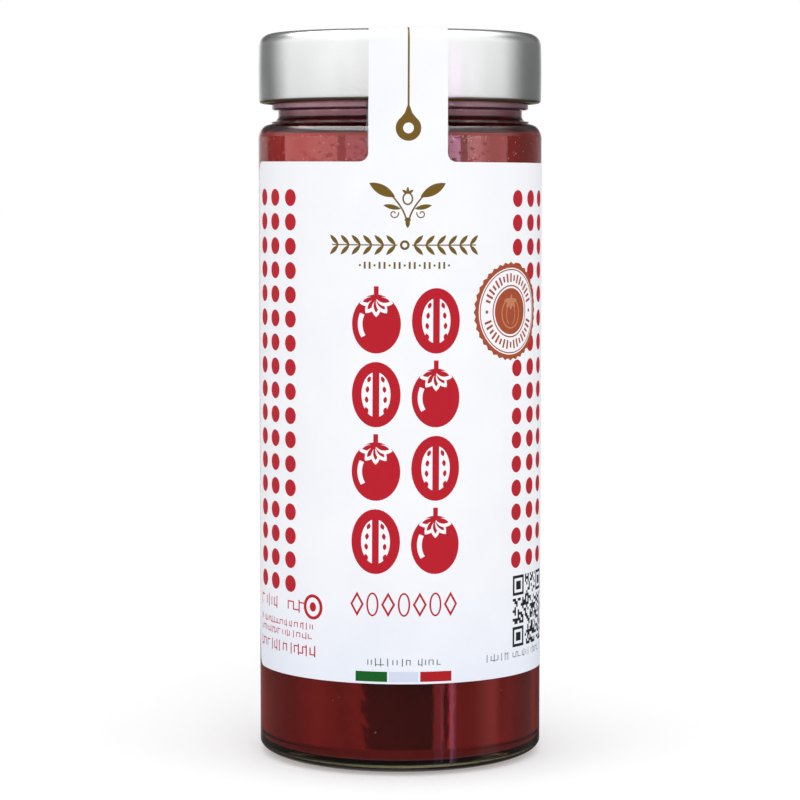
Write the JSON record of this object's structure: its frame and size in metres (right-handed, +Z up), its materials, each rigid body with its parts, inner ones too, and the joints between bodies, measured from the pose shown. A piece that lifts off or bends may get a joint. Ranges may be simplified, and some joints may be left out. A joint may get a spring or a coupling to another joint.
{
  "type": "passata bottle",
  "caption": "Shut straight-sided glass jar of passata with a recessed neck, a wide silver twist-off lid and a paper label whose strip seals the lid.",
  "frame": {"origin": "centre of the foot, in the plane that the jar stands on", "axes": "+Z up the jar's axis to the lid, -Y to the middle of the label, +X to the right as one faces the label"},
  "size_m": [0.073, 0.0731, 0.1857],
  "materials": {
    "clear_glass": "clear, polished",
    "tomato_sauce": "wet against the glass",
    "silver_lacquer": "satin silver lacquer",
    "label_paper": "smooth uncoated paper"
  },
  "bodies": {
    "root": {"glass_jar": "clear_glass", "passata": "tomato_sauce", "twist_lid": "silver_lacquer", "paper_label": "label_paper"}
  },
  "joints": []
}
